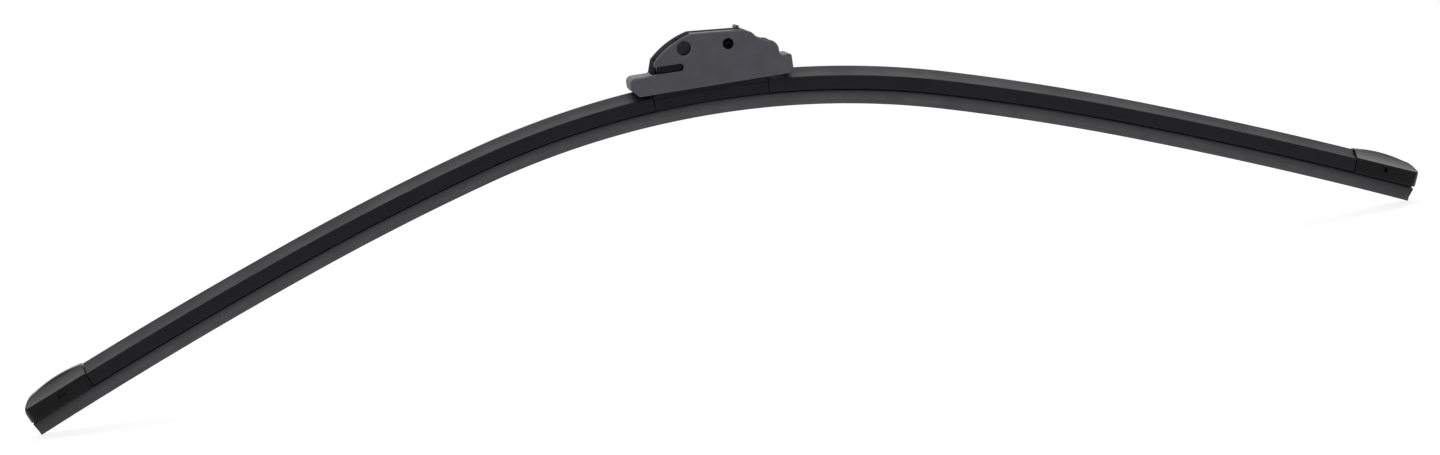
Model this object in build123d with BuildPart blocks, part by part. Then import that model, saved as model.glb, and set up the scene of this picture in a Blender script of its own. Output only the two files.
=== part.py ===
"""Frameless wiper blade: two spring rails carry a wiping rubber, two spoilers and two end caps, and in the
middle a base clamp carries the connector with its rocking hook adapter and its lock cap.
Millimetres, +Z up, +X along the blade. The origin is the middle of the pivot pin, and the side that
meets the wind faces -Y. Heights in a cross-section are measured from the rails' lower face."""

import os
from math import cos, sin, sqrt

from build123d import *

# Beam: its length along the rails and the arcs that it springs into when it is free
BLADE_LENGTH = 650.0
CENTRE_RADIUS = 382.0
CENTRE_REACH = 105.0
SHOULDER_RADIUS = 1160.0
SHOULDER_REACH = 190.0
END_RADIUS = 2240.0
PIVOT_HEIGHT = 14.0

# Clearances: pieces that slide over each other, pieces that snap or drop in, and pieces that turn
SLIDE_FIT = 0.1
SNAP_FIT = 0.3
TURN_FIT = 0.05

# Spring rails
RAIL_WIDTH = 5.0
RAIL_THICKNESS = 0.9
RAIL_GAP = 3.0
NOTCH_LENGTH = 2.4
NOTCH_DEPTH = 0.8

# Wiping rubber, from its head above the rails down to its lip
HEAD_WIDTH = 6.4
HEAD_HEIGHT = 1.2
SHOULDER_WIDTH = 7.2
SHOULDER_HEIGHT = 1.3
NECK_WIDTH = 1.1
NECK_HEIGHT = 0.7
WING_WIDTH = 5.6
WING_HEIGHT = 0.7
LIP_WIDTH = 0.8
LIP_HEIGHT = 1.9
RUBBER_DEPTH = 8.2
RUBBER_INSET = 0.3

# Spoiler section
SPOILER_WALL = 1.1
SPOILER_LIP = 1.0
SPOILER_HOOK = 1.7
EDGE_HEIGHT = 1.2
BROW_HEIGHT = 4.6
BROW_INSET = 0.9
CREST_HEIGHT = 8.2
CREST_OFFSET = 2.4
CREST_WIDTH = 1.1
FACE_HOLLOW = 0.35

# End caps
CAP_LENGTH = 31.0
CAP_SKIN = 0.4
CAP_CROWN = 1.2
CAP_NOSE = 3.8
CAP_TIP_RADIUS = 6.0
CAP_FALL_RADIUS = 7.4
WINDOW_AT = 13.0
WINDOW_LENGTH = 3.6
WINDOW_HEIGHT = 1.8
WINDOW_BOTTOM = 1.9
WINDOW_DEPTH = 2.4

# Base clamp, a casting that the rails slide into
BASE_REACH = 25.0
BASE_WALL = 1.2
BASE_FLOOR = 1.0
BASE_HOOK = 1.6
EAR_RADIUS = 4.6
EAR_FILLET = 3.0

# Pivot pin
PIN_RADIUS = 2.45
PIN_CHAMFER = 0.3
PIN_SEAT = 1.2

# Hook adapter
ADAPTER_WIDTH = 12.0
HOOK_WIDTH = 9.0
HOOK_RADIUS = 4.1
ADAPTER_LENGTH = 22.0
FLANGE_RISE = 1.2
MOUTH_WIDTH = 4.2
TONGUE_WIDTH = 4.8
TONGUE_THICKNESS = 1.5
TONGUE_LENGTH = 13.0
TONGUE_SLIT = 0.8
CATCH_LENGTH = 3.2
CATCH_HEIGHT = 1.0

# Connector housing, with heights measured from the pivot axis
CHEEK = 2.0
TOE_LEFT = 34.4
TOE_RIGHT = 36.9
TOE_TOP = -0.5
TOE_ROOF = 2.0
TOE_WALL = 1.8
TOE_NOSE = 3.2
SKIRT_BOTTOM = -8.9
SKIRT_LAP = 1.6
DOME_FOOT = 24.4
DOME_LEFT = 22.6
DOME_LEFT_TOP = 5.2
DOME_TOP_X = -0.6
DOME_TOP = 15.5
DOME_RIGHT = 21.0
DOME_RIGHT_TOP = 11.3
ROOF_LEFT = -5.0
ROOF_RIGHT = 17.5
VALLEY_X = 23.0
VALLEY_TOP = 8.8
KNUCKLE_X = 27.0
KNUCKLE_Z = 2.1
KNUCKLE_RADIUS = 4.8
HOUSING_EDGE = 0.7
HOUSING_CORNER = 1.1
TOE_CORNER = 2.4
FINGER_SLOT_END = 10.5
FINGER_SLOT_HEIGHT = 3.3
SEAT_START = 12.0
SEAT_LENGTH = 9.0
SEAT_HEIGHT = 1.6
LEDGE_LENGTH = 3.0

# Bores for side pins, with the pins' own radii
LARGE_PIN_RADIUS = 3.175
LARGE_BORE_X = -9.2
LARGE_BORE_Z = 8.9
SMALL_PIN_RADIUS = 2.38
SMALL_BORE_X = 10.1
SMALL_BORE_Z = 8.0

# Lock cap
LID_PLATE = 1.7
LID_SINK = 0.6
LID_FREE_END = -4.5
BARREL_RADIUS = 3.0
TRUNNION_RADIUS = 1.6
TRUNNION_LENGTH = 1.1
THUMB_RIB_X = 15.7
THUMB_RIB_TOP = 14.8
THUMB_RIB_WIDTH = 1.6
THUMB_RIB_LENGTH = 9.0

# Worked out from the sizes above
half_length = BLADE_LENGTH / 2
cap_start = half_length - CAP_LENGTH
beam_end = half_length - CAP_NOSE - SNAP_FIT
rubber_end = half_length - RUBBER_INSET
notch_at = cap_start + WINDOW_AT
rail_edge = RAIL_GAP / 2 + RAIL_WIDTH
channel_edge = rail_edge + SLIDE_FIT
channel_top = RAIL_THICKNESS + SLIDE_FIT
head_top = channel_top + HEAD_HEIGHT
groove_edge = HEAD_WIDTH / 2 + 2 * SLIDE_FIT
groove_top = head_top + 2 * SLIDE_FIT
spoiler_start = BASE_REACH + SNAP_FIT
spoiler_edge = channel_edge + SPOILER_WALL
spoiler_bottom = -SLIDE_FIT - SPOILER_LIP
ear_inside = ADAPTER_WIDTH / 2 + SNAP_FIT
ear_outside = ear_inside + BASE_WALL
cheek_inside = ear_outside + SLIDE_FIT
cheek_outside = cheek_inside + CHEEK
base_wall_top = SKIRT_BOTTOM + SKIRT_LAP
bore_radius = PIN_RADIUS + TURN_FIT
knuckle_edge = KNUCKLE_X + KNUCKLE_RADIUS
floor_top = groove_top + BASE_FLOOR
lid_edge = cheek_inside - SNAP_FIT
lid_bend = DOME_RIGHT - LID_PLATE
lid_under = LID_SINK + LID_PLATE
dome_left = (-DOME_LEFT, DOME_LEFT_TOP)
dome_right = (DOME_RIGHT, DOME_RIGHT_TOP)
dome = ThreePointArc(dome_left, (DOME_TOP_X, DOME_TOP), dome_right)
bends = (
    (CENTRE_RADIUS, 0.0, CENTRE_REACH),
    (SHOULDER_RADIUS, CENTRE_REACH, SHOULDER_REACH),
    (END_RADIUS, SHOULDER_REACH, half_length),
)


def beam_at(s):
    """x, z and droop in radians of the rails' lower face, at the distance s along the beam."""
    x, z, droop = 0.0, -PIVOT_HEIGHT, 0.0
    for radius, start, end in bends:
        turned = droop + max(0.0, min(abs(s), end) - start) / radius
        x += radius * (sin(turned) - sin(droop))
        z += radius * (cos(turned) - cos(droop))
        droop = turned
    return (x, z, droop) if s >= 0 else (-x, z, -droop)


def beam_point(s, height):
    """x and z of the point at a height above the rails' lower face, square to the beam at s."""
    x, z, droop = beam_at(s)
    return (x + height * sin(droop), z + height * cos(droop))


def section_plane(s):
    """The plane square to the beam at s, with x across the blade and y up from the rails' lower face."""
    x, z, droop = beam_at(s)
    return Plane(origin=(x, 0, z), x_dir=(0, 1, 0), z_dir=(cos(droop), 0, -sin(droop)))


def side_plane(s):
    """The plane of the side view at s, with x along the beam and y up from the rails' lower face."""
    x, z, droop = beam_at(s)
    return Plane(origin=(x, 0, z), x_dir=(cos(droop), 0, -sin(droop)), z_dir=(0, -1, 0))


def plan_plane(s):
    """The plane of the blade's plan view at s, with x along the beam and y across the blade."""
    x, z, droop = beam_at(s)
    return Plane(origin=(x, 0, z), x_dir=(cos(droop), 0, -sin(droop)), z_dir=(sin(droop), 0, cos(droop)))


def beam_line(start, end):
    """The rails' lower face from start to end, as tangent arcs."""
    joints = [side * reach for side in (-1, 1) for reach in (CENTRE_REACH, SHOULDER_REACH)]
    stops = [start] + sorted(s for s in joints if start < s < end) + [end]
    with BuildLine(Plane.XZ) as line:
        for a, b in zip(stops, stops[1:]):
            ThreePointArc(*(beam_point(s, 0) for s in (a, (a + b) / 2, b)))
    return line.wire()


def arch_point(x, depth=0.0):
    """The point of the dome's arch at x, at a depth below the cheeks' rim."""
    centre = dome.arc_center
    return (x, centre.Y + sqrt((dome.radius - depth) ** 2 - (x - centre.X) ** 2))


def roof_point(x, depth=0.0):
    """The point of the flat roof that cuts off the arch, at a depth below the cheeks' rim."""
    (_, left), (_, right) = arch_point(ROOF_LEFT, depth), arch_point(ROOF_RIGHT, depth)
    return (x, left + (right - left) * (x - ROOF_LEFT) / (ROOF_RIGHT - ROOF_LEFT))


def fairing(skin=0.0, crown=0.0):
    """The spoiler's outside, filled, grown by a skin and raised by a crown."""
    edge = spoiler_edge + skin
    low_front = (-edge, spoiler_bottom - skin)
    low_rear = (edge, spoiler_bottom - skin)
    front = (-edge, EDGE_HEIGHT)
    brow = (-edge + BROW_INSET, BROW_HEIGHT + skin)
    crest_front = (CREST_OFFSET - CREST_WIDTH / 2, CREST_HEIGHT + skin + crown)
    crest_rear = (CREST_OFFSET + CREST_WIDTH / 2, CREST_HEIGHT + skin + crown)
    rear = (edge, EDGE_HEIGHT)
    with BuildSketch() as section:
        with BuildLine():
            Polyline(crest_front, crest_rear, rear, low_rear, low_front, front, brow)
            SagittaArc(brow, crest_front, -FACE_HOLLOW)
        make_face()
    return section.sketch


def rail_channel(hook):
    """The room for the rails and the rubber in a piece that hooks under the rails' outer edges."""
    with BuildSketch() as section:
        with Locations((0, (channel_top - SLIDE_FIT) / 2)):
            Rectangle(2 * channel_edge, channel_top + SLIDE_FIT)
        with Locations((0, groove_top / 2)):
            Rectangle(2 * groove_edge, groove_top)
        with Locations((0, spoiler_bottom)):
            Rectangle(2 * (channel_edge - hook), 3 * SPOILER_LIP)
    return section.sketch


def housing_outline():
    """The side view of the connector housing: left toe, dome with a flat roof, knuckle and right toe."""
    toe_start = (TOE_NOSE - TOE_LEFT, SKIRT_BOTTOM)
    knuckle_top = (KNUCKLE_X, KNUCKLE_Z + KNUCKLE_RADIUS)
    knuckle_side = (knuckle_edge, KNUCKLE_Z)
    with BuildSketch() as outline:
        with BuildLine():
            Polyline(
                toe_start, (-TOE_LEFT, SKIRT_BOTTOM + TOE_NOSE), (-TOE_LEFT, TOE_TOP),
                (-DOME_FOOT, TOE_TOP), dome_left,
            )
            ThreePointArc(dome_left, arch_point((ROOF_LEFT - DOME_LEFT) / 2), arch_point(ROOF_LEFT))
            Line(arch_point(ROOF_LEFT), arch_point(ROOF_RIGHT))
            ThreePointArc(arch_point(ROOF_RIGHT), arch_point((ROOF_RIGHT + DOME_RIGHT) / 2), dome_right)
            Polyline(dome_right, (VALLEY_X, VALLEY_TOP), knuckle_top)
            RadiusArc(knuckle_top, knuckle_side, KNUCKLE_RADIUS)
            Polyline(
                knuckle_side, (knuckle_edge, TOE_TOP), (TOE_RIGHT, TOE_TOP),
                (TOE_RIGHT, SKIRT_BOTTOM + TOE_NOSE / 2),
                (TOE_RIGHT - TOE_NOSE / 2, SKIRT_BOTTOM), toe_start,
            )
        make_face()
        toe_tips = outline.vertices().sort_by(Axis.X)[:2]
        corners = outline.vertices().sort_by_distance(knuckle_side)[1:]
        fillet(corners.filter_by(lambda corner: corner not in toe_tips), HOUSING_CORNER)
        fillet(outline.vertices().sort_by(Axis.X)[:2], TOE_CORNER)
    return outline.sketch


def write(name, piece):
    """Label a finished piece and write its file."""
    piece.part.label = name
    export_step(piece.part, f"parts/{name}.step")


os.makedirs("parts", exist_ok=True)

# Spring rails, notched near their ends where the caps hold them
for name, side in (("spring_rail_front", -1), ("spring_rail_rear", 1)):
    with BuildPart() as rail:
        with BuildSketch(section_plane(-beam_end)):
            with Locations((side * (RAIL_GAP + RAIL_WIDTH) / 2, RAIL_THICKNESS / 2)):
                Rectangle(RAIL_WIDTH, RAIL_THICKNESS)
        sweep(path=beam_line(-beam_end, beam_end))
        for s in (-notch_at, notch_at):
            with BuildSketch(section_plane(s)):
                with Locations((side * rail_edge, RAIL_THICKNESS / 2)):
                    Rectangle(2 * NOTCH_DEPTH, 3 * RAIL_THICKNESS)
            extrude(amount=NOTCH_LENGTH / 2, both=True, mode=Mode.SUBTRACT)
    write(name, rail)

# Wiping rubber: head above the rails, web between them, shoulder below, then neck, wing and lip
with BuildPart() as rubber:
    shoulder_top = -SLIDE_FIT
    shoulder_bottom = shoulder_top - SHOULDER_HEIGHT
    wing_top = shoulder_bottom - NECK_HEIGHT
    web_edge = RAIL_GAP / 2 - SLIDE_FIT
    wing_corner = (WING_WIDTH / 2, wing_top - WING_HEIGHT)
    lip_root = (LIP_WIDTH / 2, LIP_HEIGHT - RUBBER_DEPTH)
    with BuildSketch(section_plane(-rubber_end)):
        with BuildLine():
            Polyline(
                (0, head_top), (HEAD_WIDTH / 2, head_top), (HEAD_WIDTH / 2, channel_top),
                (web_edge, channel_top), (web_edge, shoulder_top), (SHOULDER_WIDTH / 2, shoulder_top),
                (SHOULDER_WIDTH / 2, shoulder_bottom + SHOULDER_HEIGHT / 3),
                (SHOULDER_WIDTH / 2 - SHOULDER_HEIGHT / 2, shoulder_bottom),
                (NECK_WIDTH / 2, shoulder_bottom), (NECK_WIDTH / 2, wing_top),
                (WING_WIDTH / 2, wing_top), wing_corner,
            )
            Polyline(wing_corner, lip_root, (LIP_WIDTH / 2, -RUBBER_DEPTH), (0, -RUBBER_DEPTH))
            mirror(about=Plane.YZ)
        make_face()
    sweep(path=beam_line(-rubber_end, rubber_end))
write("wiper_rubber", rubber)

# Spoilers, from under the connector's toes out to the caps
for name, start, end in (
    ("spoiler_left", SNAP_FIT - cap_start, -spoiler_start),
    ("spoiler_right", spoiler_start, cap_start - SNAP_FIT),
):
    with BuildPart() as spoiler:
        with BuildSketch(section_plane(start)):
            add(fairing())
            add(rail_channel(SPOILER_HOOK), mode=Mode.SUBTRACT)
        sweep(path=beam_line(start, end))
    write(name, spoiler)

# End caps: rounded in side and plan view, open below for the rubber, latch recesses, pegs in the rails' notches
with BuildPart() as cap_right:
    cap_edge = spoiler_edge + CAP_SKIN
    cap_bottom = spoiler_bottom - CAP_SKIN
    cap_top = CREST_HEIGHT + CAP_SKIN
    crown_end = CAP_LENGTH - CAP_FALL_RADIUS
    tip_top = (CAP_LENGTH, cap_top - CAP_FALL_RADIUS)
    window_middle = WINDOW_BOTTOM + WINDOW_HEIGHT / 2
    with BuildSketch(section_plane(cap_start)):
        add(fairing(CAP_SKIN, 2 * CAP_CROWN))
    extrude(amount=CAP_LENGTH)
    with BuildSketch(side_plane(cap_start)):
        with BuildLine():
            Polyline((0, cap_top), (0, cap_bottom), (CAP_LENGTH, cap_bottom), tip_top)
            RadiusArc(tip_top, (crown_end, cap_top), -CAP_FALL_RADIUS)
            SagittaArc((crown_end, cap_top), (0, cap_top), -CAP_CROWN)
        make_face()
    extrude(amount=2 * cap_edge, both=True, mode=Mode.INTERSECT)
    with BuildSketch(plan_plane(cap_start)) as plan:
        with Locations((CAP_LENGTH / 2, 0)):
            Rectangle(CAP_LENGTH, 2 * cap_edge)
        fillet(plan.vertices().group_by(Axis.X)[-1], CAP_TIP_RADIUS)
    extrude(amount=2 * CREST_HEIGHT, both=True, mode=Mode.INTERSECT)
    with BuildSketch(section_plane(cap_start)):
        add(rail_channel(SPOILER_HOOK))
    sweep(path=beam_line(cap_start, beam_end + SNAP_FIT), mode=Mode.SUBTRACT)
    with BuildSketch(section_plane(beam_end)):
        with Locations((0, groove_top / 2)):
            Rectangle(2 * groove_edge, groove_top)
        with Locations((0, cap_bottom)):
            Rectangle(SHOULDER_WIDTH + 2 * SNAP_FIT, -2 * cap_bottom)
    extrude(amount=2 * CAP_NOSE, mode=Mode.SUBTRACT)
    with BuildSketch(section_plane(notch_at)):
        with Locations((-cap_edge, window_middle), (cap_edge, window_middle)):
            Rectangle(2 * WINDOW_DEPTH, WINDOW_HEIGHT)
    extrude(amount=WINDOW_LENGTH / 2, both=True, mode=Mode.SUBTRACT)
    with BuildSketch(section_plane(notch_at)):
        peg_middle = channel_edge - SLIDE_FIT
        with Locations((-peg_middle, RAIL_THICKNESS / 2), (peg_middle, RAIL_THICKNESS / 2)):
            Rectangle(2 * (NOTCH_DEPTH - SLIDE_FIT), channel_top + SLIDE_FIT)
    extrude(amount=NOTCH_LENGTH / 2 - SLIDE_FIT, both=True)
write("end_cap_right", cap_right)

with BuildPart() as cap_left:
    mirror(cap_right.part, about=Plane.YZ)
write("end_cap_left", cap_left)

# Base clamp: a channel that hooks round both rails, side walls on its floor, and ears for the pivot pin
with BuildPart() as base_clamp:
    base_edge = channel_edge + BASE_WALL
    base_bottom = -SLIDE_FIT - BASE_WALL
    floor_stops = (-BASE_REACH, 0, BASE_REACH)
    with BuildSketch(section_plane(-BASE_REACH)):
        with Locations((0, (base_bottom + floor_top) / 2)):
            Rectangle(2 * base_edge, floor_top - base_bottom)
        add(rail_channel(BASE_HOOK), mode=Mode.SUBTRACT)
    sweep(path=beam_line(-BASE_REACH, BASE_REACH))
    with BuildSketch(Plane.XZ) as walls:
        with BuildLine():
            low = ThreePointArc(*(beam_point(s, floor_top - BASE_FLOOR / 2) for s in floor_stops))
            Polyline(low @ 1, (BASE_REACH, base_wall_top), (-BASE_REACH, base_wall_top), low @ 0)
        make_face()
        with Locations((0, base_wall_top / 2)):
            Rectangle(2 * EAR_RADIUS, -base_wall_top)
        Circle(EAR_RADIUS)
        fillet(walls.vertices().sort_by_distance((0, base_wall_top))[:2], EAR_FILLET)
        Circle(bore_radius, mode=Mode.SUBTRACT)
    extrude(amount=ear_outside, both=True)
    with BuildSketch(Plane.XZ):
        with BuildLine():
            low = ThreePointArc(*(beam_point(s, floor_top) for s in floor_stops))
            Polyline(low @ 1, (2 * BASE_REACH, 2 * EAR_RADIUS), (-2 * BASE_REACH, 2 * EAR_RADIUS), low @ 0)
        make_face()
    extrude(amount=ear_inside, both=True, mode=Mode.SUBTRACT)
write("base_clamp", base_clamp)

# Pivot pin: blind in the front cheek, flush with the outside of the rear one
with BuildPart() as pivot_pin:
    pin_front = cheek_inside + PIN_SEAT
    with BuildSketch(Plane.XZ.offset(pin_front - TURN_FIT)):
        Circle(PIN_RADIUS)
    extrude(amount=TURN_FIT - pin_front - cheek_outside)
    chamfer(pivot_pin.edges().filter_by(GeomType.CIRCLE), PIN_CHAMFER)
write("pivot_pin", pivot_pin)

# Connector housing: two cheeks joined by the toes
with BuildPart() as housing:
    with BuildSketch(Plane.XZ):
        add(housing_outline())
    extrude(amount=cheek_outside, both=True)
    chamfer(housing.faces().filter_by(Axis.Y).edges(), HOUSING_EDGE)
    with BuildSketch(Plane.XZ):
        slot_right = knuckle_edge + HOUSING_CORNER
        with Locations(((slot_right - DOME_FOOT) / 2, 0)):
            Rectangle(slot_right + DOME_FOOT, 4 * DOME_TOP)
        with Locations(((TOE_RIGHT - TOE_LEFT) / 2, (SKIRT_BOTTOM + TOE_TOP - TOE_ROOF) / 2)):
            Rectangle(TOE_RIGHT + TOE_LEFT - 2 * TOE_WALL, TOE_TOP - TOE_ROOF - SKIRT_BOTTOM)
    extrude(amount=cheek_inside, both=True, mode=Mode.SUBTRACT)
    for start, end in ((-2 * spoiler_start, -spoiler_start), (spoiler_start, 2 * spoiler_start)):
        with BuildSketch(section_plane(start)):
            add(fairing(SNAP_FIT))
        sweep(path=beam_line(start, end), mode=Mode.SUBTRACT)
    with BuildSketch(Plane.XZ.offset(cheek_outside)):
        with Locations((LARGE_BORE_X, LARGE_BORE_Z)):
            Circle(LARGE_PIN_RADIUS + TURN_FIT)
        with Locations((SMALL_BORE_X, SMALL_BORE_Z)):
            Circle(SMALL_PIN_RADIUS + TURN_FIT)
    extrude(amount=-cheek_outside - pin_front, mode=Mode.SUBTRACT)
    with BuildSketch(Plane.XZ):
        slot_round = FINGER_SLOT_HEIGHT / 2
        with Locations((-FINGER_SLOT_END - slot_round, TOE_TOP + slot_round)):
            Circle(slot_round)
            Rectangle(DOME_FOOT, FINGER_SLOT_HEIGHT, align=(Align.MAX, Align.CENTER))
    extrude(amount=cheek_outside, mode=Mode.SUBTRACT)
    with BuildSketch(Plane.XZ.offset(pin_front)):
        Circle(bore_radius)
    extrude(amount=-pin_front - cheek_outside, mode=Mode.SUBTRACT)
    with BuildSketch(Plane.XZ):
        with Locations((KNUCKLE_X, KNUCKLE_Z)):
            Circle(TRUNNION_RADIUS + TURN_FIT)
    extrude(amount=lid_edge + TRUNNION_LENGTH + SNAP_FIT, both=True, mode=Mode.SUBTRACT)
    seat_depth = cheek_inside - ear_inside
    ledge_ends = (LID_FREE_END, LID_FREE_END + LEDGE_LENGTH)
    ledge_top = min(roof_point(x, lid_under)[1] for x in ledge_ends) - TURN_FIT
    for side in (-1, 1):
        with Locations(
            (-SEAT_START, side * cheek_inside, base_wall_top + TURN_FIT),
            (SEAT_START + SEAT_LENGTH, side * cheek_inside, base_wall_top + TURN_FIT),
        ):
            Box(SEAT_LENGTH, 2 * seat_depth, SEAT_HEIGHT, align=(Align.MAX, Align.CENTER, Align.MIN))
        with Locations((LID_FREE_END, side * cheek_inside, ledge_top)):
            Box(LEDGE_LENGTH, 2 * seat_depth, SEAT_HEIGHT, align=(Align.MIN, Align.CENTER, Align.MAX))
write("connector_housing", housing)

# Hook adapter: a body that the hook closes round, with side flanges, a snap mouth and a catch on a tongue
with BuildPart() as hook_adapter:
    flange_radius = HOOK_RADIUS + FLANGE_RISE
    with BuildSketch(Plane.XZ):
        Circle(flange_radius)
        Rectangle(ADAPTER_LENGTH, 2 * flange_radius, align=(Align.MAX, Align.CENTER))
    extrude(amount=ADAPTER_WIDTH / 2, both=True)
    with BuildSketch(Plane.XZ):
        Rectangle(3 * ADAPTER_LENGTH, 3 * flange_radius)
        Circle(HOOK_RADIUS, mode=Mode.SUBTRACT)
        Rectangle(ADAPTER_LENGTH, 2 * HOOK_RADIUS, align=(Align.MAX, Align.CENTER), mode=Mode.SUBTRACT)
    extrude(amount=HOOK_WIDTH / 2 + SLIDE_FIT, both=True, mode=Mode.SUBTRACT)
    with BuildSketch(Plane.XZ):
        Circle(bore_radius)
        Rectangle(MOUTH_WIDTH, 2 * flange_radius, align=(Align.CENTER, Align.MAX))
    extrude(amount=ADAPTER_WIDTH, both=True, mode=Mode.SUBTRACT)
    with BuildSketch(Plane.XZ):
        with Locations((-ADAPTER_LENGTH, HOOK_RADIUS - TONGUE_THICKNESS)):
            Rectangle(TONGUE_LENGTH, 2 * (HOOK_RADIUS - TONGUE_THICKNESS), align=(Align.MIN, Align.MAX))
    extrude(amount=TONGUE_WIDTH / 2 + TONGUE_SLIT, both=True, mode=Mode.SUBTRACT)
    slit_at = (TONGUE_WIDTH + TONGUE_SLIT) / 2
    with BuildSketch(Plane.XY):
        with Locations((-ADAPTER_LENGTH, -slit_at), (-ADAPTER_LENGTH, slit_at)):
            Rectangle(TONGUE_LENGTH, TONGUE_SLIT, align=(Align.MIN, Align.CENTER))
    extrude(amount=flange_radius, mode=Mode.SUBTRACT)
    catch_start = CATCH_LENGTH - ADAPTER_LENGTH
    catch_end = catch_start + CATCH_LENGTH
    catch_top = (catch_end, HOOK_RADIUS + CATCH_HEIGHT)
    with BuildSketch(Plane.XZ):
        Polygon((catch_start, HOOK_RADIUS), (catch_end, HOOK_RADIUS), catch_top, align=None)
    extrude(amount=TONGUE_WIDTH / 2, both=True)
write("hook_adapter", hook_adapter)

# Lock cap: a flat lid between the cheeks, bent down to a barrel with a trunnion at each end
with BuildPart() as lock_cap:
    with BuildSketch(Plane.XZ):
        with BuildLine():
            Polyline(
                roof_point(LID_FREE_END, LID_SINK), arch_point(ROOF_RIGHT, LID_SINK),
                arch_point(lid_bend, LID_SINK), arch_point(lid_bend, lid_under),
                arch_point(ROOF_RIGHT, lid_under), roof_point(LID_FREE_END, lid_under), close=True,
            )
        make_face()
    with BuildSketch(Plane.XZ):
        with Locations((KNUCKLE_X, KNUCKLE_Z)):
            Circle(BARREL_RADIUS)
        with Locations(arch_point(lid_bend, LID_SINK + LID_PLATE / 2)):
            Circle(LID_PLATE / 2)
        make_hull()
    extrude(amount=lid_edge, both=True)
    with BuildSketch(Plane.XZ):
        with Locations((KNUCKLE_X, KNUCKLE_Z)):
            Circle(TRUNNION_RADIUS)
    extrude(amount=lid_edge + TRUNNION_LENGTH, both=True)
    with BuildSketch(Plane.XZ):
        rib_foot = arch_point(THUMB_RIB_X, lid_under)[1]
        with Locations((THUMB_RIB_X, rib_foot)):
            Rectangle(THUMB_RIB_WIDTH, THUMB_RIB_TOP - rib_foot, align=(Align.CENTER, Align.MIN))
    extrude(amount=THUMB_RIB_LENGTH / 2, both=True)
    fillet(lock_cap.edges().filter_by(Axis.Y).group_by(Axis.Z)[-1], THUMB_RIB_WIDTH / 3)
write("lock_cap", lock_cap)
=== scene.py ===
# %% [markdown]
# # Dressing a frameless wiper blade
# The blade is already built as exact solids, in metres, with the middle of its pivot pin at the origin.
# We load those solids as a fixed frame and only add what the eye needs: finely swept rubber, softened
# moulded edges, finishes, light and a camera. The box of the solids is kept, because nothing that we
# make may grow past it.

from math import atan2, cos, degrees, radians, sin

import bmesh
import bpy
from mathutils import Matrix, Vector
from mathutils.bvhtree import BVHTree
from mathutils.geometry import intersect_point_line


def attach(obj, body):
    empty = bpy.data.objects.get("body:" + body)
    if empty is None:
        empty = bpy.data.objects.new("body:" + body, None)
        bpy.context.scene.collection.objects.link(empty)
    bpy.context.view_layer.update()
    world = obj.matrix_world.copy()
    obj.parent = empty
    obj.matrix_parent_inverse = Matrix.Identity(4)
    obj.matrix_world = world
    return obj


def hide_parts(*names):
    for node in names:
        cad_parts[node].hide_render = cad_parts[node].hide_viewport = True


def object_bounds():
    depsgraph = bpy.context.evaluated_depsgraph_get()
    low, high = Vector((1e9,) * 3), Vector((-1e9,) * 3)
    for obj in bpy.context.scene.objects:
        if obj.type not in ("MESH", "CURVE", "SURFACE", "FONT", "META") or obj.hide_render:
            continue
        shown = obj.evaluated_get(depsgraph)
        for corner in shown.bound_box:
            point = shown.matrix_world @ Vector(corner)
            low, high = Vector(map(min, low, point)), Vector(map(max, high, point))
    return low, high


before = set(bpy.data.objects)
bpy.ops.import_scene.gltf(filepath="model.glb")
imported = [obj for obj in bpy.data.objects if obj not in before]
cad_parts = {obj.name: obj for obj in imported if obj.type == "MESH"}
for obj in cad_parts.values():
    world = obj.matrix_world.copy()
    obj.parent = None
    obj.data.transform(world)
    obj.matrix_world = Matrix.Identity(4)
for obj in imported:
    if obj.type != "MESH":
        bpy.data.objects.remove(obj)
solid_low, solid_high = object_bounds()
scene = bpy.context.scene
scene.view_settings.view_transform = "Standard"
print("solids", len(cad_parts), "box in m", [round(c, 4) for c in solid_high - solid_low])

# %% [markdown]
# ## The camera
# The picture looks at the blade from a little above and a little to its left, with a long lens, and the
# blade runs up to the right because the camera was turned about its own line of sight. We could aim with
# a constraint, but three axes written out are easier to check: one points back to the camera, one to the
# right and one up, and a turn about the first gives the tilt.

# %% Camera
MM = 0.001
VIEW_YAW = radians(-7.015)
VIEW_RISE = radians(8.0)
VIEW_TILT = radians(8.553)
VIEW_DISTANCE = 1.4
VIEW_TARGET = Vector((-4.16, 0.0, -71.79)) * MM
LENS_MM = 80.02

view_back = Vector((sin(VIEW_YAW) * cos(VIEW_RISE), -cos(VIEW_YAW) * cos(VIEW_RISE), sin(VIEW_RISE)))
view_right = Vector((cos(VIEW_YAW), sin(VIEW_YAW), 0.0))
view_up = view_back.cross(view_right)
view_axes = Matrix((view_right, view_up, view_back)).transposed()
view_turned = (view_axes @ Matrix.Rotation(-VIEW_TILT, 3, "Z")).to_4x4()

camera = bpy.data.objects.new("camera", bpy.data.cameras.new("camera"))
camera.data.lens = LENS_MM
camera.matrix_world = Matrix.Translation(VIEW_TARGET + view_back * VIEW_DISTANCE) @ view_turned
scene.collection.objects.link(camera)
scene.camera = camera
print("camera at", [round(c, 3) for c in camera.matrix_world.translation])

# %% [markdown]
# ## Small helpers for light and finishes
# Colours are written as hex values, as a paint chart gives them, and the shader wants linear light, so
# one function turns the one into the other. A second function adds a node, sets it and joins it, so that
# each finish below reads as a list of what it is made of. A third turns a real size in millimetres into
# the scale that a noise pattern wants.

# %% Colour, node and scale helpers
def linear(hex_colour):
    """Turn an sRGB hex colour into the linear RGBA that a shader reads."""
    parts = [int(hex_colour[i:i + 2], 16) / 255 for i in (1, 3, 5)]
    return [c / 12.92 if c <= 0.04045 else ((c + 0.055) / 1.055) ** 2.4 for c in parts] + [1.0]


def node(tree, kind, inputs=None, **settings):
    """Add a node, set its properties, and give each input a value or the output it is joined to."""
    made = tree.nodes.new(kind)
    for name, value in settings.items():
        setattr(made, name, value)
    for name, value in (inputs or {}).items():
        if isinstance(value, bpy.types.NodeSocket):
            tree.links.new(value, made.inputs[name])
        else:
            made.inputs[name].default_value = value
    return made


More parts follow.
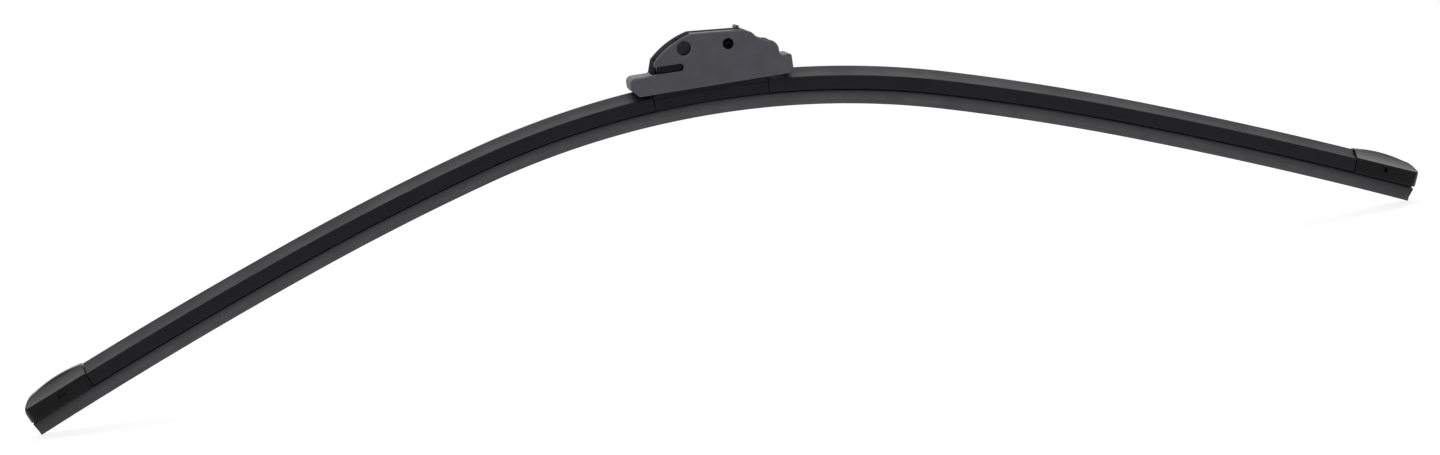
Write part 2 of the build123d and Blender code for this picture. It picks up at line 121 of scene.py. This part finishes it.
def per(size_mm):
    """The noise scale at which one spot of the pattern is this many millimetres wide."""
    return 1.0 / (size_mm * MM)


print("mid grey in linear light", round(linear("#808080")[0], 3))

# %% [markdown]
# ## The studio
# The blade stands in a white tent: even light from all round, a white floor that throws light back up under
# the rubber, and one soft lamp above and behind that draws a bright line on everything that faces up. The
# floor and the world look pure white to the camera and in reflections, and are an ordinary matt white and
# a plain pale grey for the light that falls on the blade, so the white background adds no light of its
# own. Near the blade part of the floor stays matt for the camera too, which keeps the shadow, and further
# out it fades to white. From below the floor is clear, so the underside can be looked at.

# %% World
WHITE = "#ffffff"
WHITE_STRENGTH = 1.0
TENT_LIGHT = 0.85


def white_to_the_eye(tree):
    """1 for rays that look (from the camera, or by a reflection or through glass), 0 for rays that light."""
    path = node(tree, "ShaderNodeLightPath").outputs
    mirrored = node(tree, "ShaderNodeMath", {0: path["Is Camera Ray"], 1: path["Is Glossy Ray"]},
                    operation="MAXIMUM")
    seen = node(tree, "ShaderNodeMath", {0: mirrored.outputs[0], 1: path["Is Transmission Ray"]},
                operation="MAXIMUM")
    return seen.outputs[0]


scene.world = bpy.data.worlds.new("white_tent")
scene.world.use_nodes = True
sky = scene.world.node_tree
tent = node(sky, "ShaderNodeMapRange", {"Value": white_to_the_eye(sky), "To Min": TENT_LIGHT,
                                        "To Max": WHITE_STRENGTH})
sky.nodes["Background"].inputs["Color"].default_value = linear(WHITE)
sky.links.new(tent.outputs[0], sky.nodes["Background"].inputs["Strength"])
print("the tent lights with a strength of", TENT_LIGHT)

# %% Floor finish
FLOOR_WHITE = "#fafafa"
FLOOR_GLOW = 0.80
SHADOW_REACH = 0.45
SHADOW_GONE = 0.90

floor_finish = bpy.data.materials.new("matt_white_paper")
floor_finish.use_nodes = True
paper = floor_finish.node_tree
paper.nodes.remove(paper.nodes["Principled BSDF"])
matt = node(paper, "ShaderNodeBsdfDiffuse", {"Color": linear(FLOOR_WHITE)})
glow = node(paper, "ShaderNodeEmission", {"Color": linear(WHITE), "Strength": WHITE_STRENGTH})
on_floor = node(paper, "ShaderNodeTexCoord").outputs["Object"]
away = node(paper, "ShaderNodeVectorMath", {0: on_floor}, operation="LENGTH")
fade = node(paper, "ShaderNodeMapRange", {"Value": away.outputs["Value"], "From Min": SHADOW_REACH,
                                          "From Max": SHADOW_GONE, "To Min": FLOOR_GLOW, "To Max": 1.0})
glow_share = node(paper, "ShaderNodeMath", {0: white_to_the_eye(paper), 1: fade.outputs[0]},
                  operation="MULTIPLY")
lit = node(paper, "ShaderNodeMixShader", {0: glow_share.outputs[0], 1: matt.outputs[0], 2: glow.outputs[0]})
below = node(paper, "ShaderNodeNewGeometry").outputs["Backfacing"]
clear = node(paper, "ShaderNodeBsdfTransparent")
sided = node(paper, "ShaderNodeMixShader", {0: below, 1: lit.outputs[0], 2: clear.outputs[0]})
paper.links.new(sided.outputs[0], paper.nodes["Material Output"].inputs["Surface"])
print(floor_finish.name, len(paper.nodes), "nodes")

# %% Floor
FLOOR_HALF = 5.0

bm = bmesh.new()
bmesh.ops.create_grid(bm, x_segments=1, y_segments=1, size=FLOOR_HALF)
bmesh.ops.translate(bm, verts=bm.verts, vec=(0.0, 0.0, solid_low.z))
floor_mesh = bpy.data.meshes.new("floor")
bm.to_mesh(floor_mesh)
bm.free()
floor_mesh.materials.append(floor_finish)
floor = bpy.data.objects.new("floor", floor_mesh)
scene.collection.objects.link(floor)
print("floor at z", round(solid_low.z, 4))

# %% Soft lamp above and behind
LAMP_LENGTH = 3.0
LAMP_WIDTH = 0.9
LAMP_PLACE = Vector((0.0, 0.70, 0.98))
LAMP_WATTS = 24.0

lamp = bpy.data.objects.new("soft_lamp", bpy.data.lights.new("soft_lamp", "AREA"))
lamp.data.shape = "RECTANGLE"
lamp.data.size = LAMP_LENGTH
lamp.data.size_y = LAMP_WIDTH
lamp.data.energy = LAMP_WATTS
lamp.location = LAMP_PLACE
lamp.rotation_euler = LAMP_PLACE.to_track_quat("Z", "Y").to_euler()
scene.collection.objects.link(lamp)
print("lamp", LAMP_LENGTH, "x", LAMP_WIDTH, "m,", LAMP_WATTS, "W")

# %% [markdown]
# ## The bent beam
# A beam blade is bowed so that it presses evenly on curved glass. Here the bow is made of three arcs on
# each side, tight in the middle and flatter towards the tips, that run smoothly into each other. A place on
# the blade is given by how far along the beam it is. Each arc has a middle, and turning about that
# middle carries a cross-section along the beam, so the same few values drive every swept piece.

# %% Arcs of the beam
BEND_RADII = (0.382, 1.160, 2.240)
BEND_ENDS = (0.105, 0.190, 0.325)
PIN_ABOVE_BEAM = 0.014


def bend_list():
    """Each arc's start and end along the beam, its middle, its radius and the slope where it starts."""
    bends = []
    start, slope = 0.0, 0.0
    crown = Vector((0.0, 0.0, -PIN_ABOVE_BEAM))
    for radius, end in zip(BEND_RADII, BEND_ENDS):
        middle = crown - radius * Vector((sin(slope), 0.0, cos(slope)))
        bends.append((start, end, middle, radius, slope))
        slope += (end - start) / radius
        crown = middle + radius * Vector((sin(slope), 0.0, cos(slope)))
        start = end
    return bends


bends = bend_list()


def beam_at(place):
    """The point of the beam at a place on its right half, and the slope there."""
    for start, end, middle, radius, slope in bends:
        if place <= end:
            turn = slope + (place - start) / radius
            return middle + radius * Vector((sin(turn), 0.0, cos(turn))), turn


print("slope at the tip in degrees", round(degrees(beam_at(BEND_ENDS[-1])[1]), 2))

# %% [markdown]
# ## Taking a cross-section
# Rubber profiles are pushed through a die, so the whole strip has one cross-section. We take it from
# the solid itself: in a merged copy only the end face is kept, its triangles are joined into one face, and
# that face is moved to the crown of the beam. Its corners get the small rounds that soft rubber always
# has. The outline could be typed in as points, but then a change of the solid would be missed.

# %% Cross-section helper
MERGE = 0.002 * MM
AT_END = 0.005 * MM
CORNER = radians(28.0)


def end_outline(solid, place, corner_round, corner_steps):
    """The outline of the end face that a solid has at a place on the beam, moved to the crown."""
    on_beam, slope = beam_at(place)
    along = Vector((cos(slope), 0.0, -sin(slope)))
    bm = bmesh.new()
    bm.from_mesh(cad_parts[solid].data)
    bmesh.ops.remove_doubles(bm, verts=bm.verts, dist=MERGE)
    elsewhere = [v for v in bm.verts if abs((v.co - on_beam).dot(along)) > AT_END]
    bmesh.ops.delete(bm, geom=elsewhere, context="VERTS")
    bmesh.ops.dissolve_faces(bm, faces=bm.faces[:])
    bmesh.ops.translate(bm, verts=bm.verts, vec=-on_beam)
    bmesh.ops.rotate(bm, verts=bm.verts, cent=(0.0, 0.0, 0.0), matrix=Matrix.Rotation(-slope, 3, "Y"))
    bmesh.ops.translate(bm, verts=bm.verts, vec=beam_at(0.0)[0])
    corners = [v for v in bm.verts if v.calc_edge_angle(0.0) > CORNER]
    bmesh.ops.bevel(bm, geom=corners, offset=corner_round, offset_type="OFFSET", segments=corner_steps,
                    profile=0.5, affect="VERTICES", clamp_overlap=True, material=-1)
    bmesh.ops.delete(bm, geom=bm.faces[:], context="FACES_ONLY")
    print(solid, "section:", len(bm.verts), "points,", len(corners), "corners")
    return bm


print("a corner turns by more than", round(degrees(CORNER)), "degrees")

# %% [markdown]
# ## Sweeping along the beam
# Spin is the operator for a piece that follows an arc: it copies the outline in small turns and joins
# the copies with faces. We spin through one arc after the other. Then each point also remembers where it
# would lie if the beam were pulled straight. The rubber finishes use that, so that their fine lines run
# along the strip and bend with it, as they do when the strip leaves the die.

# %% Sweep helper
SWEEP_STEP = 2.5 * MM


def sweep(bm, first, last):
    """Spin an outline that lies at the crown along the arcs, from one place on the beam to another."""
    middle, radius = bends[0][2], bends[0][3]
    bmesh.ops.rotate(bm, verts=bm.verts, cent=middle, matrix=Matrix.Rotation(first / radius, 3, "Y"))
    front = bm.verts[:] + bm.edges[:]
    for start, end, middle, radius, slope in bends:
        run = min(end, last) - max(start, first)
        if run > 0:
            spun = bmesh.ops.spin(bm, geom=front, cent=middle, axis=(0.0, 1.0, 0.0), angle=run / radius,
                                  steps=round(run / SWEEP_STEP), use_merge=False)
            front = spun["geom_last"]
    bmesh.ops.holes_fill(bm, edges=[e for e in bm.edges if e.is_boundary], sides=0)
    return bm


print("sweep step in mm", SWEEP_STEP / MM)

# %% Straightened places
STRAIGHTENED = "straightened"


def remember_straight(bm):
    """Store on each point its place along the beam, across it and above it."""
    layer = bm.verts.layers.float_vector.new(STRAIGHTENED)
    for v in bm.verts:
        for start, end, middle, radius, slope in bends:
            arm = Vector((abs(v.co.x) - middle.x, v.co.z - middle.z))
            place = start + (atan2(arm.x, arm.y) - slope) * radius
            if place <= end or end == BEND_ENDS[-1]:
                v[layer] = Vector((place if v.co.x > 0 else -place, v.co.y, arm.length - radius))
                break


print("straightened places are stored as", STRAIGHTENED)

# %% [markdown]
# ## Putting a piece on show
# Every new piece becomes an object at the origin, moves with one of the bodies of the frame, takes the
# finish of one material slot and stands for the solid that it refines. Faces are shaded smooth, an edge
# that is meant to be crisp is marked sharp by its angle, and large faces outweigh small ones in the
# shading, so a flat wall looks flat right up to its rounded edge.

# %% Piece helper
CRISP = radians(35.0)


def show(bm, name, finish, body, solid):
    """Turn a bmesh into a piece that replaces one solid."""
    bmesh.ops.recalc_face_normals(bm, faces=bm.faces)
    for face in bm.faces:
        face.smooth = True
    for edge in bm.edges:
        edge.smooth = edge.is_manifold and edge.calc_face_angle(0.0) < CRISP
    open_edges = sum(not e.is_manifold for e in bm.edges)
    mesh = bpy.data.meshes.new(name)
    bm.to_mesh(mesh)
    bm.free()
    mesh.materials.append(finish)
    piece = bpy.data.objects.new(name, mesh)
    scene.collection.objects.link(piece)
    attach(piece, body)
    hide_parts(solid)
    piece.modifiers.new("flat_faces_stay_flat", "WEIGHTED_NORMAL").keep_sharp = True
    print(name, len(mesh.polygons), "faces,", open_edges, "open edges")


print("an edge stays crisp above", round(degrees(CRISP)), "degrees")

# %% [markdown]
# ## How a finish is put together
# All finishes here start and end alike. First come the values that are the same all over: how strongly
# the surface bends light and how much it shines. Then a pattern of its own is drawn. At the end
# patterns choose the shade between a dark and a light one, make some spots duller than others, and raise
# a very low relief. Noise mostly stays in the middle of its range from 0 to 1, so that middle part is
# spread over all the shades and all the roughness.

# %% Start and end of a finish
NOISE_MIDDLE = (0.3, 0.7)


def new_finish(name, **constants):
    """A material with its shader's constant values set, its node tree and its shader."""
    made = bpy.data.materials.new(name)
    made.use_nodes = True
    shader = made.node_tree.nodes["Principled BSDF"]
    for socket, value in constants.items():
        shader.inputs[socket.replace("_", " ")].default_value = value
    return made, made.node_tree, shader


def dress(tree, shader, shade_by, stops, shades, rough_by, rough, relief_by, relief_mm, strength,
          middle=NOISE_MIDDLE):
    """Let patterns choose a shader's colour between two shades, its roughness and its relief."""
    ramp = node(tree, "ShaderNodeValToRGB", {"Fac": shade_by})
    for stop, position, shade in zip(ramp.color_ramp.elements, stops, shades):
        stop.position = position
        stop.color = linear(shade)
    dull = node(tree, "ShaderNodeMapRange", {"Value": rough_by, "From Min": middle[0], "From Max": middle[1],
                                             "To Min": rough[0], "To Max": rough[1]})
    relief = node(tree, "ShaderNodeBump", {"Height": relief_by, "Strength": strength,
                                           "Distance": relief_mm * MM})
    tree.links.new(ramp.outputs[0], shader.inputs["Base Color"])
    tree.links.new(dull.outputs[0], shader.inputs["Roughness"])
    tree.links.new(relief.outputs[0], shader.inputs["Normal"])


print("noise between", NOISE_MIDDLE[0], "and", NOISE_MIDDLE[1], "is spread over the whole roughness")

# %% [markdown]
# ## Finish: extruded spoiler rubber
# The fairings are EPDM, a synthetic rubber filled with soot, pushed through a steel die. It is a deep,
# slightly bluish black with a dull sheen, and the die leaves very fine lines along the strip. We draw the
# lines with noise that is stretched along the straightened beam, and a faint cloudy bloom under them. Real
# die lines are some hundredths of a millimetre apart; these are coarser so that they show at all.

# %% Spoiler rubber
EPDM_IOR = 1.5
EPDM_SHINE = 0.13
DIE_LINE_MM = 0.45
DIE_LINE_LENGTH_MM = 90.0
DIE_LINE_DETAIL = 3.0
DIE_LINE_SHARE = 0.45
BLOOM_MM = 18.0
BLOOM_DETAIL = 4.0
BLOOM_SHARE = 0.55

spoiler_finish, tree, shader = new_finish("extruded_epdm_rubber", IOR=EPDM_IOR, Specular_IOR_Level=EPDM_SHINE)
place = node(tree, "ShaderNodeAttribute", attribute_name=STRAIGHTENED).outputs["Vector"]
stretch = node(tree, "ShaderNodeMapping", {"Vector": place, "Scale": (
    per(DIE_LINE_LENGTH_MM), per(DIE_LINE_MM), per(DIE_LINE_MM))})
lines = node(tree, "ShaderNodeTexNoise", {"Vector": stretch.outputs[0], "Scale": 1.0,
                                          "Detail": DIE_LINE_DETAIL})
bloom = node(tree, "ShaderNodeTexNoise", {"Vector": place, "Scale": per(BLOOM_MM), "Detail": BLOOM_DETAIL})
mottle = node(tree, "ShaderNodeMath", {0: bloom.outputs["Fac"], 1: BLOOM_SHARE}, operation="MULTIPLY")
tone = node(tree, "ShaderNodeMath", {0: lines.outputs["Fac"], 1: DIE_LINE_SHARE, 2: mottle.outputs[0]},
            operation="MULTIPLY_ADD")
dress(tree, shader, shade_by=tone.outputs[0], stops=(0.30, 0.72), shades=("#0f0f13", "#19191f"),
      rough_by=tone.outputs[0], rough=(0.50, 0.66),
      relief_by=lines.outputs["Fac"], relief_mm=0.03, strength=0.25)
print(spoiler_finish.name, len(tree.nodes), "nodes")

# %% [markdown]
# ## Finish: graphite-coated wiping rubber
# The wiping element is natural rubber that is chlorinated and then coated with graphite so that it slides
# on dry glass. The coat is a dark lead grey with a soft satin sheen, a little uneven along the strip where
# the spray was thicker. Its colour also darkens from the lip up to the shoulder, to near black: that is
# painted shade for the shadow under the fairing's overhang, together with the coat thinning out towards the
# shoulder.
# The straightened height of a point sets how far it is darkened.

# %% Wiping rubber
GRAPHITE_IOR = 1.52
GRAPHITE_SHINE = 0.28
COAT_STREAK_MM = 0.8
COAT_STREAK_LENGTH_MM = 40.0
COAT_STREAK_DETAIL = 4.0
COAT_CLOUD_MM = 9.0
COAT_CLOUD_DETAIL = 5.0
COAT_CLOUD_SHARE = 0.5
# Heights between which the colour is darkened towards the shoulder: painted shade under the fairing, and the
# coat thinning out.
COAT_FULL_NO_SHADE_MM = -7.0
COAT_NONE_FULL_SHADE_MM = -1.8

wiping_finish, tree, shader = new_finish("graphite_coated_rubber", IOR=GRAPHITE_IOR,
                                         Specular_IOR_Level=GRAPHITE_SHINE)
place = node(tree, "ShaderNodeAttribute", attribute_name=STRAIGHTENED).outputs["Vector"]
stretch = node(tree, "ShaderNodeMapping", {"Vector": place, "Scale": (
    per(COAT_STREAK_LENGTH_MM), per(COAT_STREAK_MM), per(COAT_STREAK_MM))})
streak = node(tree, "ShaderNodeTexNoise", {"Vector": stretch.outputs[0], "Scale": 1.0,
                                           "Detail": COAT_STREAK_DETAIL})
cloud = node(tree, "ShaderNodeTexNoise", {"Vector": place, "Scale": per(COAT_CLOUD_MM),
                                          "Detail": COAT_CLOUD_DETAIL})
tone = node(tree, "ShaderNodeMix", {"Factor": COAT_CLOUD_SHARE, "A": streak.outputs["Fac"],
                                    "B": cloud.outputs["Fac"]}, data_type="FLOAT")
height = node(tree, "ShaderNodeSeparateXYZ", {"Vector": place})
# Painted shade: the colour goes darker from the lip up to the shoulder, under the fairing's overhang, and
# also stands for the thinner coat there.
coat_and_painted_shade = node(tree, "ShaderNodeMapRange", {"Value": height.outputs["Z"], "From Min": COAT_FULL_NO_SHADE_MM * MM,
                                          "From Max": COAT_NONE_FULL_SHADE_MM * MM, "To Min": 1.0, "To Max": 0.0})
tone_with_painted_shade = node(tree, "ShaderNodeMath", {0: tone.outputs[0], 1: coat_and_painted_shade.outputs[0]}, operation="MULTIPLY")
dress(tree, shader, shade_by=tone_with_painted_shade.outputs[0], stops=(0.0, 0.70), shades=("#121215", "#4a4a4e"),
      rough_by=tone.outputs[0], rough=(0.42, 0.58),
      relief_by=tone.outputs[0], relief_mm=0.02, strength=0.2)
print(wiping_finish.name, len(tree.nodes), "nodes")

# %% [markdown]
# ## Finish: moulded plastics and the coated casting
# The connector is a glass-filled nylon in charcoal, moulded in a spark-eroded tool, which gives an even,
# very fine pebble grain and a matt look. The caps and the adapter are acetal in black: smoother, half
# glossy. The base is die-cast zinc under a thin black coat with a slight orange-peel skin. All three
# are the same kind of recipe (a cloudy tone, a grain in the relief, a roughness that follows both), so one
# function makes them from their own colours and sizes.

# %% Recipe for a moulded or coated surface
PLASTIC_IOR = 1.5
CLOUD_DETAIL = 5.0
GRAIN_DETAIL = 2.0
GRAIN_SHARE = 0.4
GRAIN_STRENGTH = 0.35
MOULD_STOPS = (0.33, 0.67)
MOULD_DULLING = 0.06


def moulded_finish(name, shades, shine, rough, cloud_mm, grain_mm, relief_mm):
    """A moulded or coated surface: two close shades in clouds, a pebble grain and a matt to satin sheen."""
    made, tree, shader = new_finish(name, IOR=PLASTIC_IOR, Specular_IOR_Level=shine)
    place = node(tree, "ShaderNodeTexCoord").outputs["Object"]
    cloud = node(tree, "ShaderNodeTexNoise", {"Vector": place, "Scale": per(cloud_mm),
                                              "Detail": CLOUD_DETAIL})
    grain = node(tree, "ShaderNodeTexNoise", {"Vector": place, "Scale": per(grain_mm),
                                              "Detail": GRAIN_DETAIL})
    tone = node(tree, "ShaderNodeMix", {"Factor": GRAIN_SHARE, "A": cloud.outputs["Fac"],
                                        "B": grain.outputs["Fac"]}, data_type="FLOAT")
    dress(tree, shader, shade_by=tone.outputs[0], stops=MOULD_STOPS, shades=shades,
          rough_by=tone.outputs[0], rough=(rough - MOULD_DULLING, rough + MOULD_DULLING),
          relief_by=grain.outputs["Fac"], relief_mm=relief_mm, strength=GRAIN_STRENGTH)
    print(name, len(tree.nodes), "nodes")
    return made


# %% Moulded and coated finishes
# Matt charcoal that never mirrors: a spark-eroded grain of about 0.1 mm, drawn at 0.5 mm so that it shows.
connector_finish = moulded_finish("grained_charcoal_nylon", shades=("#3a393f", "#45444b"), shine=0.3,
                                  rough=0.60, cloud_mm=7.0, grain_mm=0.5, relief_mm=0.05)
# Deep black with a soft mirror on its curves. Its grain is almost polished away, and drawn at 0.5 mm too.
cap_finish = moulded_finish("semi_gloss_black_acetal", shades=("#08080a", "#0e0e10"), shine=0.12,
                            rough=0.16, cloud_mm=9.0, grain_mm=0.5, relief_mm=0.01)
# Dull black with the slight waves of a coat that flowed before it set, about 0.9 mm from wave to wave.
base_finish = moulded_finish("black_coated_zinc", shades=("#0f0f12", "#17171b"), shine=0.12,
                             rough=0.60, cloud_mm=6.0, grain_mm=0.9, relief_mm=0.03)

# %% [markdown]
# ## Finish: steels
# The two springs are cold-rolled strip with a dark blued skin, and rolling leaves streaks along them. The
# pin is ground bright steel with faint rings around it. Both are metals, so their colour is the
# colour of their reflection and the IOR stays as it is.

# %% Recipe for a steel
STREAK_DETAIL = 3.0
STREAK_STRENGTH = 0.15
STREAK_RELIEF_MM = 0.01
STREAK_MIDDLE = (0.35, 0.65)
STREAK_DULLING = 0.05


def steel_finish(name, shades, rough, streak_mm):
    """A metal with fine streaks; streak_mm gives the streak's size along X, Y and Z."""
    made, tree, shader = new_finish(name, Metallic=1.0)
    place = node(tree, "ShaderNodeTexCoord").outputs["Object"]
    stretch = node(tree, "ShaderNodeMapping", {"Vector": place, "Scale": [per(s) for s in streak_mm]})
    streak = node(tree, "ShaderNodeTexNoise", {"Vector": stretch.outputs[0], "Scale": 1.0,
                                               "Detail": STREAK_DETAIL}).outputs["Fac"]
    dress(tree, shader, shade_by=streak, stops=STREAK_MIDDLE, shades=shades,
          rough_by=streak, rough=(rough - STREAK_DULLING, rough + STREAK_DULLING), middle=STREAK_MIDDLE,
          relief_by=streak, relief_mm=STREAK_RELIEF_MM, strength=STREAK_STRENGTH)
    print(name, len(tree.nodes), "nodes")
    return made


# %% Steel finishes
# A dark blue-grey gleam in long lines. Rolling streaks are finer than 0.4 mm, and drawn coarser to show.
spring_finish = steel_finish("blued_spring_steel", shades=("#1d1e21", "#292a2e"), rough=0.42,
                             streak_mm=(60.0, 0.4, 0.4))
# Bright grey with rings round the pin. Grinding marks are finer than 0.25 mm, and drawn coarser to show.
pin_finish = steel_finish("ground_pin_steel", shades=("#a3a5a8", "#b9bbbe"), rough=0.28,
                          streak_mm=(8.0, 0.25, 8.0))

# %% [markdown]
# ## The wiping rubber
# Its section has a head that sits on the springs, a web between them, a shoulder, a thin neck and a wing
# that ends in the lip. We sweep one half and mirror it, so both halves are alike to the last point.

# %% Wiping rubber piece
RUBBER_END = 324.7 * MM
RUBBER_ROUND = 0.12 * MM
RUBBER_ROUND_STEPS = 2

rubber = sweep(end_outline("wiper_rubber", RUBBER_END, RUBBER_ROUND, RUBBER_ROUND_STEPS), 0.0, RUBBER_END)
crown_faces = [f for f in rubber.faces if all(abs(v.co.x) < MERGE for v in f.verts)]
bmesh.ops.delete(rubber, geom=crown_faces, context="FACES_ONLY")
bmesh.ops.mirror(rubber, geom=rubber.verts[:] + rubber.edges[:] + rubber.faces[:], axis="X",
                 merge_dist=MERGE)
bmesh.ops.remove_doubles(rubber, verts=rubber.verts, dist=MERGE)
remember_straight(rubber)
show(rubber, "wiping_element", wiping_finish, "blade", "wiper_rubber")

# %% [markdown]
# ## The fairings
# Each fairing is one extruded strip with a hooked foot that is pushed over the springs. It starts at the
# base and ends inside the cap. The left one is the mirror image of the right one.

# %% Fairing pieces
FAIRING_START = 25.3 * MM
FAIRING_END = 293.7 * MM
FAIRING_ROUND = 0.40 * MM
FAIRING_ROUND_STEPS = 3

for side, hand in (("right", 1.0), ("left", -1.0)):
    outline = end_outline("spoiler_right", FAIRING_START, FAIRING_ROUND, FAIRING_ROUND_STEPS)
    fairing = sweep(outline, FAIRING_START, FAIRING_END)
    bmesh.ops.scale(fairing, verts=fairing.verts, vec=(hand, 1.0, 1.0))
    remember_straight(fairing)
    show(fairing, "fairing_strip_" + side, spoiler_finish, "blade", "spoiler_" + side)

# %% [markdown]
# ## Softened mouldings
# No moulded or cast edge is perfectly sharp: the tool has a small radius everywhere, and that radius is what
# catches the light. We take a merged copy of each solid, join its flat triangles back into whole faces, and
# bevel every outer edge that turns by more than a set angle. Inside corners catch no light, so they stay.
# A round doesn't fit everywhere: where two edges lie closer together than two rounds, a bevel folds over
# itself. So we look for folds, leave the edges beside them sharp, and start again from a fresh copy. The
# two caps are made in mirrored tools, so the right one is the mirror image of the left one.

# %% Fold finder
FOLDED = radians(150.0)


def fold_places(bm):
    """The places where a mesh folds back on itself or passes through itself."""
    places = [(e.verts[0].co + e.verts[1].co) / 2 for e in bm.edges if e.calc_face_angle(0.0) > FOLDED]
    split = bm.copy()
    bmesh.ops.triangulate(split, faces=split.faces)
    split.faces.ensure_lookup_table()
    tree = BVHTree.FromBMesh(split)
    for first, second in tree.overlap(tree):
        if not set(split.faces[first].verts) & set(split.faces[second].verts):
            places.append(split.faces[first].calc_center_median())
    split.free()
    return places


def gap(edge, place):
    """How far a place is from an edge."""
    start, end = edge.verts[0].co, edge.verts[1].co
    share = intersect_point_line(place, start, end)[1]
    return (start.lerp(end, min(1.0, max(0.0, share))) - place).length


print("a fold is an edge that turns by more than", round(degrees(FOLDED)), "degrees")

# %% Moulding helper
FLAT = radians(0.4)
TINY = 0.02 * MM
COINCIDENT = 0.004 * MM
ROUND_STEPS = 3
FOLD_REACH = 3.0


def softened(solid, edge_round):
    """A merged copy of a solid with its outer edges rounded wherever the round fits."""
    folds = []
    rounded = 0
    while True:
        bm = bmesh.new()
        bm.from_mesh(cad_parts[solid].data)
        bmesh.ops.remove_doubles(bm, verts=bm.verts, dist=TINY)
        bmesh.ops.dissolve_limit(bm, angle_limit=FLAT, verts=bm.verts, edges=bm.edges,
                                 use_dissolve_boundaries=False)
        outer = [e for e in bm.edges if e.is_convex and e.calc_face_angle(0.0) > CORNER]
        fitting = [e for e in outer if all(gap(e, fold) > FOLD_REACH * edge_round for fold in folds)]
        bmesh.ops.bevel(bm, geom=fitting, offset=edge_round, offset_type="OFFSET", segments=ROUND_STEPS,
                        profile=0.5, affect="EDGES", clamp_overlap=False, material=-1)
        bmesh.ops.remove_doubles(bm, verts=bm.verts, dist=COINCIDENT)
        bmesh.ops.dissolve_degenerate(bm, edges=bm.edges, dist=COINCIDENT)
        found = fold_places(bm)
        if not found or len(fitting) == rounded:
            print(solid, "edges rounded:", len(fitting), "of", len(outer))
            return bm
        folds += found
        rounded = len(fitting)
        bm.free()


print("an edge round has", ROUND_STEPS, "steps")

# %% Moulded and cast pieces
MOULD_ROUND = 0.20 * MM
CAP_ROUND = 0.35 * MM

show(softened("connector_housing", MOULD_ROUND), "connector_moulding", connector_finish,
     "blade", "connector_housing")
show(softened("lock_cap", MOULD_ROUND), "lid_moulding", connector_finish,
     "lid", "lock_cap")
show(softened("hook_adapter", MOULD_ROUND), "adapter_moulding", cap_finish,
     "adapter", "hook_adapter")
show(softened("base_clamp", MOULD_ROUND), "base_casting", base_finish,
     "blade", "base_clamp")
for side, hand in (("left", 1.0), ("right", -1.0)):
    cap = softened("end_cap_left", CAP_ROUND)
    bmesh.ops.scale(cap, verts=cap.verts, vec=(hand, 1.0, 1.0))
    show(cap, "cap_moulding_" + side, cap_finish, "blade", "end_cap_" + side)

# %% [markdown]
# ## What stays as the solid gives it
# The springs and the pin are plain rolled and ground steel, and their solids already have the right shape,
# so they only get their finish.

# %% Steel parts
for solid, finish in (("spring_rail_front", spring_finish), ("spring_rail_rear", spring_finish),
                      ("pivot_pin", pin_finish)):
    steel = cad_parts[solid]
    steel.data.materials.clear()
    steel.data.materials.append(finish)
    print(solid, finish.name)
